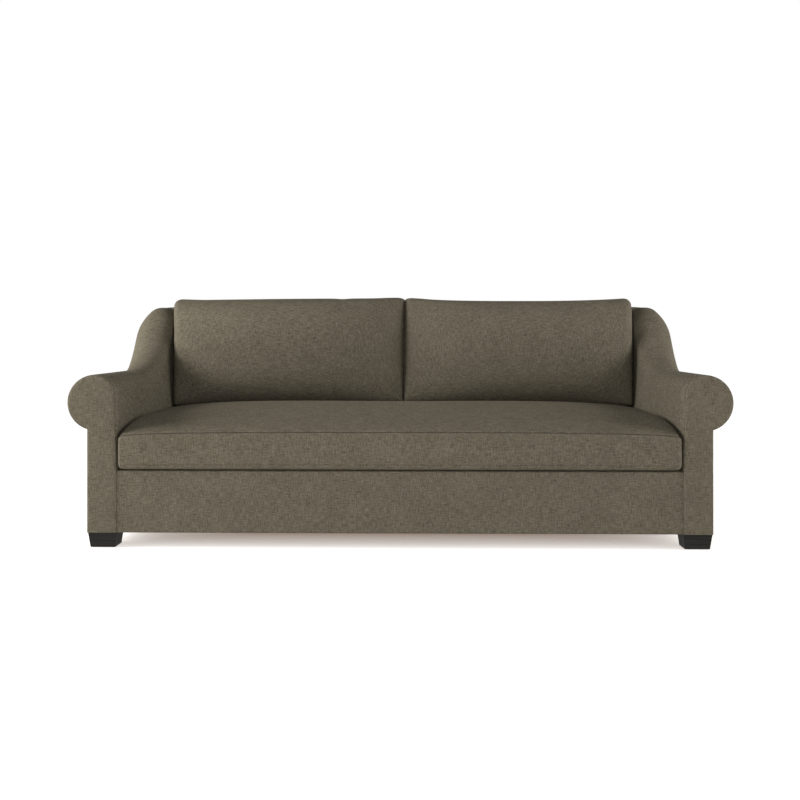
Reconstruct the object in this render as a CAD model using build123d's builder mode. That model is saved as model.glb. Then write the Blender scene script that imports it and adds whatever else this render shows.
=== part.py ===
from build123d import *
import os
from math import acos, asin, cos, degrees, radians, sin, sqrt

# A rolled arm sofa in millimetres. X runs along the sofa, Y from its front to its back, and Z up.
# The origin is on the floor under the middle of the sofa.
# Depths are counted backwards from the front of the arms, and heights upwards from the floor.

# Overall sizes
overall_width = 2440.0
overall_depth = 1000.0
arm_height = 640.0
back_height = 913.0
deck_height = 289.0

# Cloth and sheet stock
fabric = 2.0
dust_cloth = 1.5
rail_stock = 25.0
board_stock = 18.0
panel_stock = 9.0

# Arms
arm_thickness = 109.0
roll_radius = 103.0
roll_overhang = 73.0
arm_lean = 7.0
arm_foam = 14.0
facing_thickness = 14.0
facing_edge_radius = 5.0
swoop_angle = 60.0
swoop_upper_radius = 106.0
shoulder_length = 100.0
swoop_steps = 6
roll_rail_width = 30.0
roll_rail_height = 70.0

# Back
back_rake = 55.0
back_depth = 170.0
inside_back_slope = 0.127
back_foam = 16.0
back_top_radius = 40.0
shoulder_clearance = 0.5
back_top_rail_height = 60.0
back_bottom_rail_height = 70.0
outside_board = 4.0
webbing_thickness = 2.0
webbing_width = 50.0
webbing_straps = 5

# Base and deck
panel_setback = 15.0
front_foam = 12.0
deck_pad_thickness = 10.0
insulator_thickness = 2.0
cross_rail_height = 70.0
corner_block_leg = 80.0
frame_bays = 3
spring_wire = 3.8
spring_count = 10
spring_half_width = 26.0
spring_pitch = 40.0
spring_bend = 14.0
spring_clearance = 0.2
clip_thickness = 1.2
clip_length = 30.0
clip_width = 16.0

# Feet
foot_height = 55.0
foot_width = 106.0
foot_depth = 90.0
foot_taper = 7.0
foot_setback = 10.0
foot_edge_radius = 2.0
glide_height = 3.0
glide_radius = 20.0

# Fasteners
screw_radius = 2.5
screw_head_radius = 5.0
screw_head_height = 3.0
screw_length = 60.0
screw_edge_distance = 45.0
arm_bolt_radius = 4.0
arm_bolt_head_radius = 7.5
arm_bolt_head_height = 5.3
arm_bolt_shares = (0.13, 0.48, 0.84)
arm_bolt_height = 170.0
foot_bolt_radius = 5.0
foot_bolt_depth = 35.0
tee_flange = 1.5
tee_flange_overlap = 6.0
tee_wall = 1.5

# Seat cushion
cushion_clearance = 0.3
seat_side_gap = 2.0
seat_front = 6.0
seat_rear_gap = 2.0
seat_crown_height = 495.0
seat_end_drop = 23.0
seat_front_seam = 426.0
seat_rear_seam = 430.0
seat_lower_seam = 20.0
seat_lower_setback = 12.0
seat_front_bulge = 4.0
seat_front_run = 300.0
seat_rear_run = 110.0
seat_edge_round = 14.0
seat_shares = (0, 0.3, 0.5, 0.7, 0.85)

# Back cushions
back_cushion_gap = 2.0
back_cushion_side_gap = 3.0
back_cushion_top = 951.0
back_cushion_bottom_thickness = 203.0
back_cushion_top_thickness = 168.0
back_cushion_bulge = 20.0
back_cushion_top_round = 48.0
back_cushion_corner = 27.0
back_cushion_edge_share = 0.3
back_cushion_shares = (0, 0.2, 0.4, 0.55, 0.7, 0.8, 0.9)

# Steps round the ends of the cushions
end_shares = (0, 0.4, 0.7, 0.9, 1)

# Places worked out from the sizes above
base_height = foot_height + glide_height
frame_bottom = base_height + dust_cloth
outer_face = overall_width / 2 - roll_overhang
inner_face = outer_face - arm_thickness
roll_centre = overall_width / 2 - roll_radius
corner_radius = roll_centre - inner_face - arm_lean
arm_inset = fabric + arm_foam

swoop_radii = (back_height - arm_height) / (1 - cos(radians(swoop_angle)))
swoop_lower_radius = swoop_radii - swoop_upper_radius
shoulder_depth = overall_depth - shoulder_length
swoop_start = shoulder_depth - swoop_radii * sin(radians(swoop_angle))

front_rail_front = panel_setback + fabric + front_foam
front_rail_back = front_rail_front + rail_stock
inside_back_depth = overall_depth - back_depth
post_front = inside_back_depth + fabric + back_foam + webbing_thickness
rear_rail_front = post_front - rail_stock
pad_bottom = deck_height - fabric - deck_pad_thickness
spring_top = pad_bottom - insulator_thickness
rail_top = spring_top - spring_wire - clip_thickness - 2 * spring_clearance
rail_inner_face = inner_face - rail_stock

outside_back = fabric + outside_board
frame_inset = fabric + back_foam + webbing_thickness
top_rail_bottom = back_height - fabric - back_foam - back_top_rail_height
back_end = inner_face + arm_lean + corner_radius / 2
upright_places = [inner_face * (2 * bay / frame_bays - 1) for bay in range(1, frame_bays)]


def y_at(depth):
    """Y of a depth counted from the front of the arms."""
    return depth - overall_depth / 2


def outside_depth(height):
    """Depth of the raked outside back at a height."""
    return overall_depth - back_rake * (back_height - height) / (back_height - base_height)


def inside_depth(height):
    """Depth of the leaning inside back at a height."""
    return inside_back_depth + inside_back_slope * (height - deck_height)


def raked_plane(in_front):
    """A plane parallel to the outside back, some way in front of it, that faces forwards."""
    on_floor = (0, y_at(outside_depth(0) - in_front), 0)
    return Plane(on_floor, x_dir=(1, 0, 0), z_dir=(0, base_height - back_height, back_rake))


def upright_plane(depth):
    """An upright plane across the sofa at a depth, which faces forwards."""
    return Plane.XZ.offset(-y_at(depth))


def block(x_range, depth_range, height_range):
    """A square-edged board between two faces in each direction."""
    x0, x1 = x_range
    d0, d1 = depth_range
    z0, z1 = height_range
    with Locations(((x0 + x1) / 2, y_at((d0 + d1) / 2), (z0 + z1) / 2)):
        Box(x1 - x0, d1 - d0, z1 - z0)


def save(piece, node):
    """Labels a finished piece and writes its file."""
    piece.part.label = node
    export_step(piece.part, f"parts/{node}.step")


def save_pair(piece, node):
    """Writes a right-hand piece, and its mirror image for the left."""
    save(piece, f"{node}_right")
    with BuildPart() as left:
        mirror(piece.part, about=Plane.YZ)
    save(left, f"{node}_left")


os.makedirs("parts", exist_ok=True)


# Fasteners, which the pieces that they hold are drilled for

from_base = (Align.CENTER, Align.CENTER, Align.MIN)
from_top = (Align.CENTER, Align.CENTER, Align.MAX)
arm_bolt_run = rear_rail_front - front_rail_back
arm_bolt_depths = [front_rail_back + share * arm_bolt_run for share in arm_bolt_shares]
arm_bolt_start = rail_inner_face
arm_bolt_end = inner_face + arm_inset + panel_stock + tee_flange
arm_bolt_planes = [
    Plane((arm_bolt_start, y_at(depth), arm_bolt_height), z_dir=(1, 0, 0)) for depth in arm_bolt_depths
]
with BuildPart() as arm_bolts_right:
    with Locations(*arm_bolt_planes):
        Cylinder(arm_bolt_radius, arm_bolt_end - arm_bolt_start, align=from_base)
    with BuildSketch(*arm_bolt_planes):
        RegularPolygon(arm_bolt_head_radius, 6)
    extrude(amount=-arm_bolt_head_height)

arm_nut_planes = [
    Plane((arm_bolt_end, y_at(depth), arm_bolt_height), z_dir=(-1, 0, 0)) for depth in arm_bolt_depths
]
with BuildPart() as arm_tee_nuts_right:
    with Locations(*arm_nut_planes):
        Cylinder(arm_bolt_radius + tee_flange_overlap, tee_flange, align=from_base)
        Cylinder(arm_bolt_radius + tee_wall, tee_flange + panel_stock, align=from_base)
    add(arm_bolts_right.part, mode=Mode.SUBTRACT)

for node, right in (("arm_bolts", arm_bolts_right), ("arm_tee_nuts", arm_tee_nuts_right)):
    with BuildPart() as both_sides:
        add(right.part)
        mirror(right.part, about=Plane.YZ)
    save(both_sides, node)

foot_x = (inner_face + outer_face) / 2
front_foot_depth = foot_setback + foot_depth / 2
rear_foot_depth = outside_depth(base_height) - foot_setback - foot_depth / 2
foot_places = {
    "front_left": (-foot_x, y_at(front_foot_depth)),
    "front_right": (foot_x, y_at(front_foot_depth)),
    "rear_left": (-foot_x, y_at(rear_foot_depth)),
    "rear_right": (foot_x, y_at(rear_foot_depth)),
}
base_rail_top = base_height + rail_stock
with BuildPart() as foot_bolts:
    with Locations(*[(x, y, base_height - foot_bolt_depth) for x, y in foot_places.values()]):
        Cylinder(foot_bolt_radius, foot_bolt_depth + rail_stock + tee_flange, align=from_base)
save(foot_bolts, "foot_bolts")

with BuildPart() as foot_tee_nuts:
    with Locations(*[(x, y, base_rail_top + tee_flange) for x, y in foot_places.values()]):
        Cylinder(foot_bolt_radius + tee_flange_overlap, tee_flange, align=from_top)
        Cylinder(foot_bolt_radius + tee_wall, tee_flange + rail_stock / 2, align=from_top)
    add(foot_bolts.part, mode=Mode.SUBTRACT)
save(foot_tee_nuts, "foot_tee_nuts")

screw_heights = (frame_bottom + screw_edge_distance, rail_top - screw_edge_distance)
screw_planes = []
for side in (-1, 1):
    for height in screw_heights:
        front_corner = (side * (inner_face - rail_stock / 2), y_at(front_rail_front), height)
        rear_corner = (side * inner_face, y_at(rear_rail_front + rail_stock / 2), height)
        screw_planes.append(Plane(front_corner, z_dir=(0, 1, 0)))
        screw_planes.append(Plane(rear_corner, z_dir=(-side, 0, 0)))
with BuildPart() as frame_screws:
    with Locations(*screw_planes):
        Cylinder(screw_radius, screw_length, align=from_base)
        Cone(screw_head_radius, screw_radius, screw_head_height, align=from_base)
save(frame_screws, "frame_screws")


# Feet: tapered blocks with a glide pressed under each

with BuildPart() as foot_glides:
    with Locations(*[(x, y, 0) for x, y in foot_places.values()]):
        Cylinder(glide_radius, glide_height, align=from_base)
save(foot_glides, "foot_glides")

for place, (x, y) in foot_places.items():
    with BuildPart() as foot:
        with BuildSketch(Plane((x, y, glide_height))):
            Rectangle(foot_width - 2 * foot_taper, foot_depth - 2 * foot_taper)
        with BuildSketch(Plane((x, y, base_height))):
            Rectangle(foot_width, foot_depth)
        loft(ruled=True)
        upright_edges = foot.edges().filter_by(lambda edge: abs(edge.tangent_at(0.5).Z) > 0.5)
        fillet(upright_edges, foot_edge_radius)
        add(foot_bolts.part, mode=Mode.SUBTRACT)
    save(foot, f"foot_{place}")


# Arms: one section, which follows a top line that runs level and then swoops up to the back

slant = sqrt(1 + (back_rake / (back_height - base_height)) ** 2)
span_front = facing_thickness + board_stock
span_end = outside_back + board_stock


def swoop_stations():
    """Depth and height of the arm's top at even steps of turn up the swoop."""
    turns = [radians(swoop_angle) * step / swoop_steps for step in range(swoop_steps + 1)]
    lower = []
    upper = []
    for turn in turns:
        across, up = sin(turn), 1 - cos(turn)
        lower.append((swoop_start + swoop_lower_radius * across, arm_height + swoop_lower_radius * up))
        upper.append((shoulder_depth - swoop_upper_radius * across, back_height - swoop_upper_radius * up))
    return lower + upper[-2::-1]


def arm_planes(front, *ends):
    """The planes of the arm's sections, with the arm's top on each and how much it stretches heights."""
    planes = [(upright_plane(depth), top, 1) for depth, top in [(front, arm_height)] + swoop_stations()]
    return planes + [(raked_plane(end), back_height, slant) for end in ends]


def arm_line(top, stretch, inset):
    """The arm's outline from its outer foot, over the roll, to its inner foot, inset from its fabric."""
    roll = roll_radius - inset
    outer = outer_face - inset
    inner = inner_face + inset
    foot = base_height * stretch
    roll_height = top * stretch - roll_radius
    underside = degrees(asin((outer - roll_centre) / roll)) - 90
    roll_lower = CenterArc((roll_centre, roll_height), roll, underside, -underside)
    roll_upper = CenterArc((roll_centre, roll_height), roll, 0, 90)
    corner = CenterArc((roll_centre, top * stretch - corner_radius), corner_radius - inset, 90, 90)
    outer_line = Line((outer, foot), roll_lower @ 0)
    inner_line = Polyline(corner @ 1, (inner, deck_height * stretch), (inner, foot))
    return outer_line, roll_lower, roll_upper, corner, inner_line


def arm_section(plane, top, stretch, inset):
    """The whole of the arm's section on a plane, inset from the outside of its fabric."""
    with BuildSketch(plane) as section:
        with BuildLine():
            pieces = arm_line(top, stretch, inset)
            Line(pieces[-1] @ 1, pieces[0] @ 0)
        make_face()
    return section.sketch


def arm_layer(plane, top, stretch, outside, inside):
    """A layer of the arm's section on a plane, open at the bottom, between two insets."""
    with BuildSketch(plane) as section:
        with BuildLine():
            outer_pieces = arm_line(top, stretch, outside)
            inner_pieces = arm_line(top, stretch, inside)
            Line(outer_pieces[0] @ 0, inner_pieces[0] @ 0)
            Line(outer_pieces[-1] @ 1, inner_pieces[-1] @ 1)
        make_face()
    return section.sketch


def arm_side(x, top_drop, bottom_drop=None):
    """The side of the arm's span under its top line, down to a lower line or to the base rail."""
    tops = [(span_front, arm_height)] + swoop_stations()
    tops.append((outside_depth(back_height) - span_end, back_height))
    upper = [(depth, top - top_drop) for depth, top in tops]
    lower = [(span_front, base_rail_top), (outside_depth(base_rail_top) - span_end, base_rail_top)]
    if bottom_drop is not None:
        lower = [(depth, top - bottom_drop) for depth, top in tops]
    for line in (upper, lower):
        line[-1] = (outside_depth(line[-1][1]) - span_end, line[-1][1])
    with BuildSketch(Plane.YZ.offset(x)) as side:
        with BuildLine():
            Polyline(*[(y_at(depth), height) for depth, height in upper + lower[::-1]], close=True)
        make_face()
    return side.sketch


with BuildPart() as arm_facing:
    extrude(arm_section(upright_plane(facing_thickness), arm_height, 1, 0), amount=facing_thickness)
    fillet(arm_facing.faces().sort_by(Axis.Y)[0].edges(), facing_edge_radius)
save_pair(arm_facing, "arm_facing")

cover_planes = arm_planes(facing_thickness, span_end, outside_back)
with BuildPart() as arm_cover:
    loft([arm_layer(*plane, 0, fabric) for plane in cover_planes], ruled=True)
    add(arm_bolts_right.part, mode=Mode.SUBTRACT)
save_pair(arm_cover, "arm_cover")

with BuildPart() as arm_padding:
    loft([arm_layer(*plane, fabric, arm_inset) for plane in cover_planes], ruled=True)
    add(arm_bolts_right.part, mode=Mode.SUBTRACT)
save_pair(arm_padding, "arm_padding")

with BuildPart() as arm_front_board:
    extrude(arm_section(upright_plane(span_front), arm_height, 1, arm_inset), amount=board_stock)
save_pair(arm_front_board, "arm_front_board")

with BuildPart() as arm_rear_board:
    rear_section = arm_section(raked_plane(outside_back), back_height, slant, arm_inset)
    extrude(rear_section, amount=board_stock, dir=(0, -1, 0))
save_pair(arm_rear_board, "arm_rear_board")

with BuildPart() as arm_base_rail:
    rail_ends = [(span_front, z) for z in (base_rail_top, base_height)]
    rail_ends += [(outside_depth(z) - span_end, z) for z in (base_height, base_rail_top)]
    with BuildSketch(Plane.YZ.offset(inner_face + arm_inset)):
        with BuildLine():
            Polyline(*[(y_at(depth), z) for depth, z in rail_ends], close=True)
        make_face()
    extrude(amount=arm_thickness - 2 * arm_inset)
    add(foot_bolts.part, mode=Mode.SUBTRACT)
    add(foot_tee_nuts.part, mode=Mode.SUBTRACT)
save_pair(arm_base_rail, "arm_base_rail")


def inner_panel_section(plane, top, stretch):
    """The section of the arm's inner panel, which leans with the arm above the deck."""
    foot = inner_face + arm_inset
    heights = (base_rail_top * stretch, deck_height * stretch, top * stretch - corner_radius)
    face = list(zip((foot, foot, foot + arm_lean), heights))
    with BuildSketch(plane) as section:
        with BuildLine():
            Polyline(*face, *[(x + panel_stock, z) for x, z in reversed(face)], close=True)
        make_face()
    return section.sketch


with BuildPart() as arm_inner_panel:
    loft([inner_panel_section(*plane) for plane in arm_planes(span_front, span_end)], ruled=True)
    add(arm_bolts_right.part, mode=Mode.SUBTRACT)
    add(arm_tee_nuts_right.part, mode=Mode.SUBTRACT)
save_pair(arm_inner_panel, "arm_inner_panel")

tightest_top = min(roll_radius, corner_radius) - arm_inset
rail_top_drop = arm_inset + tightest_top - sqrt(tightest_top**2 - (roll_rail_width / 2) ** 2)
rail_bottom_drop = rail_top_drop + roll_rail_height
with BuildPart() as arm_roll_rail:
    extrude(arm_side(roll_centre, rail_top_drop, rail_bottom_drop), amount=roll_rail_width / 2, both=True)
save_pair(arm_roll_rail, "arm_roll_rail")

with BuildPart() as arm_outer_panel:
    extrude(arm_side(outer_face - arm_inset, rail_bottom_drop), amount=-panel_stock)
save_pair(arm_outer_panel, "arm_outer_panel")


# Base: rails screwed at the corners, with cross rails and glued corner blocks

rail_heights = (frame_bottom, rail_top)
with BuildPart() as front_rail:
    block((-inner_face, inner_face), (front_rail_front, front_rail_back), rail_heights)
    add(frame_screws.part, mode=Mode.SUBTRACT)
save(front_rail, "front_rail")

with BuildPart() as side_rail:
    block((rail_inner_face, inner_face), (front_rail_back, post_front), rail_heights)
    add(frame_screws.part, mode=Mode.SUBTRACT)
    add(arm_bolts_right.part, mode=Mode.SUBTRACT)
save_pair(side_rail, "side_rail")

with BuildPart() as rear_seat_rail:
    block((-rail_inner_face, rail_inner_face), (rear_rail_front, post_front), rail_heights)
    add(frame_screws.part, mode=Mode.SUBTRACT)
save(rear_seat_rail, "rear_seat_rail")

with BuildPart() as cross_rails:
    for x in upright_places:
        block(
            (x - rail_stock / 2, x + rail_stock / 2),
            (front_rail_back, rear_rail_front),
            (frame_bottom, frame_bottom + cross_rail_height),
        )
save(cross_rails, "cross_rails")

with BuildPart() as corner_blocks:
    with BuildSketch(Plane.XY.offset(frame_bottom)):
        for corner, inward in ((y_at(front_rail_back), 1), (y_at(rear_rail_front), -1)):
            with BuildLine():
                Polyline(
                    (rail_inner_face, corner),
                    (rail_inner_face - corner_block_leg, corner),
                    (rail_inner_face, corner + inward * corner_block_leg),
                    close=True,
                )
            make_face()
        mirror(about=Plane.YZ)
    extrude(amount=cross_rail_height)
    add(frame_screws.part, mode=Mode.SUBTRACT)
save(corner_blocks, "corner_blocks")


# Seat suspension: sinuous wire springs clipped to the rails, under an insulator, a pad and the deck cloth

spring_front = front_rail_front + rail_stock / 2
spring_rear = rear_rail_front + rail_stock / 2
spring_bars = round((spring_rear - spring_front) / spring_pitch) + 1
bar_step = (spring_rear - spring_front) / (spring_bars - 1)
spring_spacing = 2 * rail_inner_face / spring_count
spring_places = [(place + 0.5) * spring_spacing - rail_inner_face for place in range(spring_count)]
wire_height = rail_top + clip_thickness + spring_clearance + spring_wire / 2

bends = []
for bar in range(spring_bars):
    bar_y = y_at(spring_front + bar * bar_step)
    swing = spring_half_width if bar % 2 else -spring_half_width
    bends += [(swing, bar_y, wire_height), (-swing, bar_y, wire_height)]
with BuildPart() as one_spring:
    with BuildLine() as spring_line:
        FilletPolyline(*bends, radius=spring_bend)
    with BuildSketch(Plane(spring_line.line @ 0, z_dir=spring_line.line % 0)):
        Circle(spring_wire / 2)
    sweep()
with BuildPart() as seat_springs:
    with Locations(*[(x, 0, 0) for x in spring_places]):
        add(one_spring.part)
save(seat_springs, "seat_springs")

with BuildPart() as spring_clips:
    for x in spring_places:
        for depth in (spring_front, spring_rear):
            block(
                (x - clip_length / 2, x + clip_length / 2),
                (depth - clip_width / 2, depth + clip_width / 2),
                (rail_top, rail_top + clip_thickness),
            )
save(spring_clips, "spring_clips")

with BuildPart() as deck_insulator:
    block((-inner_face, inner_face), (front_rail_front, post_front), (spring_top, pad_bottom))
save(deck_insulator, "deck_insulator")

with BuildPart() as deck_pad:
    block((-inner_face, inner_face), (front_rail_front, post_front), (pad_bottom, deck_height - fabric))
save(deck_pad, "deck_pad")

with BuildPart() as deck_cover:
    block((-inner_face, inner_face), (panel_setback, post_front), (deck_height - fabric, deck_height))
save(deck_cover, "deck_cover")

panel_heights = (base_height, deck_height - fabric)
with BuildPart() as front_panel_pad:
    block((-inner_face, inner_face), (panel_setback + fabric, front_rail_front), panel_heights)
save(front_panel_pad, "front_panel_pad")

with BuildPart() as front_panel_cover:
    block((-inner_face, inner_face), (panel_setback, panel_setback + fabric), panel_heights)
save(front_panel_cover, "front_panel_cover")

with BuildPart() as dust_cover:
    block(
        (-inner_face, inner_face),
        (front_rail_front, outside_depth(base_height) - outside_back),
        (base_height, frame_bottom),
    )
save(dust_cover, "dust_cover")


# Back: sawn posts and uprights between two rails, with webbing, a pad and cloth over the inside and top


def post_side(x, bottom):
    """The side of a back post from a height up to the underside of the top rail."""
    front_of_post = [(post_front, bottom), (post_front, deck_height)]
    front_of_post.append((inside_depth(top_rail_bottom) + frame_inset, top_rail_bottom))
    rear_of_post = [(outside_depth(height) - outside_back, height) for height in (top_rail_bottom, bottom)]
    with BuildSketch(Plane.YZ.offset(x)) as side:
        with BuildLine():
            Polyline(*[(y_at(depth), height) for depth, height in front_of_post + rear_of_post], close=True)
        make_face()
    return side.sketch


def back_form(front_inset, top_inset):
    """The back above the deck, inset from the outside of its inside and top cloth."""
    top = back_height - top_inset
    with BuildPart() as form:
        with BuildSketch(Plane.YZ) as side:
            with BuildLine():
                Polyline(
                    (y_at(inside_depth(deck_height) + front_inset), deck_height),
                    (y_at(inside_depth(top) + front_inset), top),
                    (y_at(outside_depth(top) - outside_back), top),
                    (y_at(outside_depth(deck_height) - outside_back), deck_height),
                    close=True,
                )
            make_face()
            front_top = side.vertices().group_by(Axis.Y)[-1].sort_by(Axis.X)[0]
            fillet(front_top, back_top_radius - top_inset)
        extrude(amount=inner_face + arm_thickness, both=True)
    return form.part


def between_arms():
    """The room between the arms from end to end of the back, filled up over the arms' inner corners."""
    corner = corner_radius + shoulder_clearance
    lean_start = inner_face - shoulder_clearance
    corner_height = back_height - corner_radius
    turn = degrees(acos((roll_centre - back_end) / corner))
    with BuildPart() as room:
        with BuildSketch(upright_plane(overall_depth)):
            with BuildLine():
                corner_arc = CenterArc((roll_centre, corner_height), corner, 180, -turn)
                Polyline(
                    corner_arc @ 1,
                    (back_end, back_height),
                    (0, back_height),
                    (0, deck_height),
                    (lean_start, deck_height),
                    corner_arc @ 0,
                )
            make_face()
            mirror(about=Plane.YZ)
        extrude(amount=overall_depth)
    return room.part


arm_to_arm = between_arms()
back_outside = back_form(0, 0)
back_lining = back_form(fabric, fabric)
back_hollow = back_form(fabric + back_foam, fabric + back_foam)

with BuildPart() as back_cover:
    add(back_outside)
    add(back_lining, mode=Mode.SUBTRACT)
    add(arm_to_arm, mode=Mode.INTERSECT)
save(back_cover, "back_cover")

with BuildPart() as back_pad:
    add(back_lining)
    add(back_hollow, mode=Mode.SUBTRACT)
    add(arm_to_arm, mode=Mode.INTERSECT)
save(back_pad, "back_pad")

with BuildPart() as back_top_rail:
    add(back_form(frame_inset, fabric + back_foam))
    split(bisect_by=Plane.XY.offset(top_rail_bottom), keep=Keep.TOP)
    split(bisect_by=Plane.YZ.offset(inner_face), keep=Keep.BOTTOM)
    split(bisect_by=Plane.YZ.offset(-inner_face), keep=Keep.TOP)
save(back_top_rail, "back_top_rail")

with BuildPart() as back_post:
    extrude(post_side(rail_inner_face, frame_bottom), amount=rail_stock)
save_pair(back_post, "back_post")

with BuildPart() as back_uprights:
    for x in upright_places:
        extrude(post_side(x, frame_bottom + back_bottom_rail_height), amount=rail_stock / 2, both=True)
save(back_uprights, "back_uprights")

with BuildPart() as back_bottom_rail:
    rail_edges = (frame_bottom, frame_bottom + back_bottom_rail_height)
    rail_line = [(outside_depth(z) - outside_back, z) for z in rail_edges]
    rail_line += [(depth - rail_stock, z) for depth, z in reversed(rail_line)]
    with BuildSketch(Plane.YZ):
        with BuildLine():
            Polyline(*[(y_at(depth), z) for depth, z in rail_line], close=True)
        make_face()
    extrude(amount=rail_inner_face, both=True)
save(back_bottom_rail, "back_bottom_rail")

strap_step = (top_rail_bottom - deck_height) / webbing_straps
with BuildPart() as back_webbing:
    for strap in range(webbing_straps):
        strap_middle = deck_height + (strap + 0.5) * strap_step
        strap_edges = (strap_middle - webbing_width / 2, strap_middle + webbing_width / 2)
        front_line = [(y_at(inside_depth(z) + frame_inset - webbing_thickness), z) for z in strap_edges]
        rear_line = [(y_at(inside_depth(z) + frame_inset), z) for z in reversed(strap_edges)]
        with BuildSketch(Plane.YZ):
            with BuildLine():
                Polyline(*front_line, *rear_line, close=True)
            make_face()
        extrude(amount=inner_face, both=True)
save(back_webbing, "back_webbing")


def outside_back_sheet(inset, in_front, thickness):
    """A sheet over the whole outside back, shaped round the ends of both rolls."""
    with BuildPart() as sheet:
        with BuildSketch(raked_plane(in_front)):
            with BuildLine():
                outer_line, roll_lower, roll_upper, _, _ = arm_line(back_height, slant, inset)
                Polyline(roll_upper @ 1, (0, (roll_upper @ 1).Y), (0, (outer_line @ 0).Y), outer_line @ 0)
            make_face()
            mirror(about=Plane.YZ)
        extrude(amount=thickness, dir=(0, -1, 0))
    return sheet


save(outside_back_sheet(fabric, fabric, outside_board), "outside_back_board")
save(outside_back_sheet(0, 0, fabric), "outside_back_cover")


# Seat cushion: one bench cushion with a crowned top, a bowed front border and drawn-in ends

seat_bottom = deck_height + cushion_clearance
seat_half = inner_face - seat_side_gap
seat_rear = inside_back_depth - seat_rear_gap


def end_round(x, half, radius):
    """How far a rounded end has drawn in at x, from nothing to its full radius at the tip."""
    past = max(0.0, (abs(x) - (half - radius)) / radius)
    return radius * (1 - sqrt(max(0.0, 1 - past**2)))


def crown_arc(edge, seam, run, top):
    """An arc that climbs from a seam at the edge and levels out at the crown."""
    rise = top - seam
    radius = (run**2 + rise**2) / (2 * abs(rise))
    half_turn = asin(run / radius) / 2
    level = edge + run
    middle = (level - radius * sin(half_turn), top - radius * (1 - cos(half_turn)))
    return (edge, seam), middle, (level, top)


def seat_section(x, inset):
    """The seat cushion's section at one place along it."""
    drawn = inset + end_round(x, seat_half - inset, seat_edge_round)
    front = seat_front + drawn
    rear = seat_rear - drawn
    top = seat_crown_height - drawn - seat_end_drop * (x / seat_half) ** 4
    bottom = seat_bottom + inset
    lower_seam = bottom + seat_lower_seam
    front_seam = seat_front_seam - inset
    mid_turn = 1 - sqrt(0.5)
    lower_corner = seat_lower_setback * mid_turn
    lower_rise = seat_lower_seam * mid_turn
    front_climb = crown_arc(y_at(front), front_seam, seat_front_run, top)
    rear_climb = [(-y, z) for y, z in crown_arc(-y_at(rear), seat_rear_seam - inset, seat_rear_run, top)]
    with BuildSketch(Plane.YZ.offset(x)) as section:
        with BuildLine():
            ThreePointArc(*front_climb)
            Line(front_climb[2], rear_climb[2])
            ThreePointArc(*reversed(rear_climb))
            Polyline(rear_climb[0], (y_at(rear), lower_seam))
            ThreePointArc(
                (y_at(rear), lower_seam),
                (y_at(rear - lower_corner), bottom + lower_rise),
                (y_at(rear - seat_lower_setback), bottom),
            )
            Line((y_at(rear - seat_lower_setback), bottom), (y_at(front + seat_lower_setback), bottom))
            ThreePointArc(
                (y_at(front + seat_lower_setback), bottom),
                (y_at(front + lower_corner), bottom + lower_rise),
                (y_at(front), lower_seam),
            )
            ThreePointArc(
                (y_at(front), lower_seam),
                (y_at(front - seat_front_bulge), (lower_seam + front_seam) / 2),
                front_climb[0],
            )
        make_face()
    return section.sketch


def seat_form(inset):
    """The seat cushion, inset from the outside of its cover."""
    half = seat_half - inset
    steps = [half * share for share in seat_shares]
    steps += [half - seat_edge_round * (1 - share) for share in end_shares]
    places = [-step for step in reversed(steps[1:])] + steps
    with BuildPart() as form:
        loft([seat_section(x, inset) for x in places], ruled=True)
    return form.part


seat_fill = seat_form(fabric)
with BuildPart() as seat_cushion_cover:
    add(seat_form(0))
    add(seat_fill, mode=Mode.SUBTRACT)
save(seat_cushion_cover, "seat_cushion_cover")

with BuildPart() as seat_cushion_core:
    add(seat_fill)
save(seat_cushion_core, "seat_cushion_core")


# Back cushions: knife-edged, full in the middle, leaning on the inside back above the seat

back_cushion_bottom = seat_crown_height + 2 * cushion_clearance
back_cushion_half = (inner_face - back_cushion_side_gap - back_cushion_gap / 2) / 2
back_cushion_middle = back_cushion_gap / 2 + back_cushion_half


def back_cushion_section(across, inset):
    """A back cushion's section, some way across from its middle."""
    half = back_cushion_half - inset
    fullness = sqrt(max(0.0, 1 - (across / half) ** 4))
    share = back_cushion_edge_share + (1 - back_cushion_edge_share) * fullness
    top = back_cushion_top - inset - end_round(across, half, back_cushion_corner)
    bottom = back_cushion_bottom + inset
    shoulder = top - back_cushion_top_round * share
    slimming = (back_cushion_bottom_thickness - back_cushion_top_thickness) / (back_height - bottom)

    def half_thickness(height):
        return share * (back_cushion_bottom_thickness - slimming * (height - bottom)) / 2 - inset

    def middle(height):
        full = back_cushion_bottom_thickness - slimming * (height - bottom)
        return y_at(inside_depth(height) - cushion_clearance - full / 2)

    waist = (bottom + shoulder) / 2
    front_bottom = (middle(bottom) - half_thickness(bottom), bottom)
    rear_bottom = (middle(bottom) + half_thickness(bottom), bottom)
    front_shoulder = (middle(shoulder) - half_thickness(shoulder), shoulder)
    rear_shoulder = (middle(shoulder) + half_thickness(shoulder), shoulder)
    front_waist = (middle(waist) - half_thickness(waist) - share * back_cushion_bulge, waist)
    with BuildSketch(Plane.YZ.offset(back_cushion_middle + across)) as section:
        with BuildLine():
            ThreePointArc(front_bottom, front_waist, front_shoulder)
            ThreePointArc(front_shoulder, (middle(top), top), rear_shoulder)
            Polyline(rear_shoulder, rear_bottom, front_bottom)
        make_face()
    return section.sketch


def back_cushion_form(inset):
    """A back cushion, inset from the outside of its cover."""
    half = back_cushion_half - inset
    steps = [half * share for share in back_cushion_shares]
    steps += [half - back_cushion_corner * (1 - share) for share in end_shares]
    places = [-step for step in reversed(steps[1:])] + steps
    with BuildPart() as form:
        loft([back_cushion_section(across, inset) for across in places], ruled=True)
    return form.part


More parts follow.
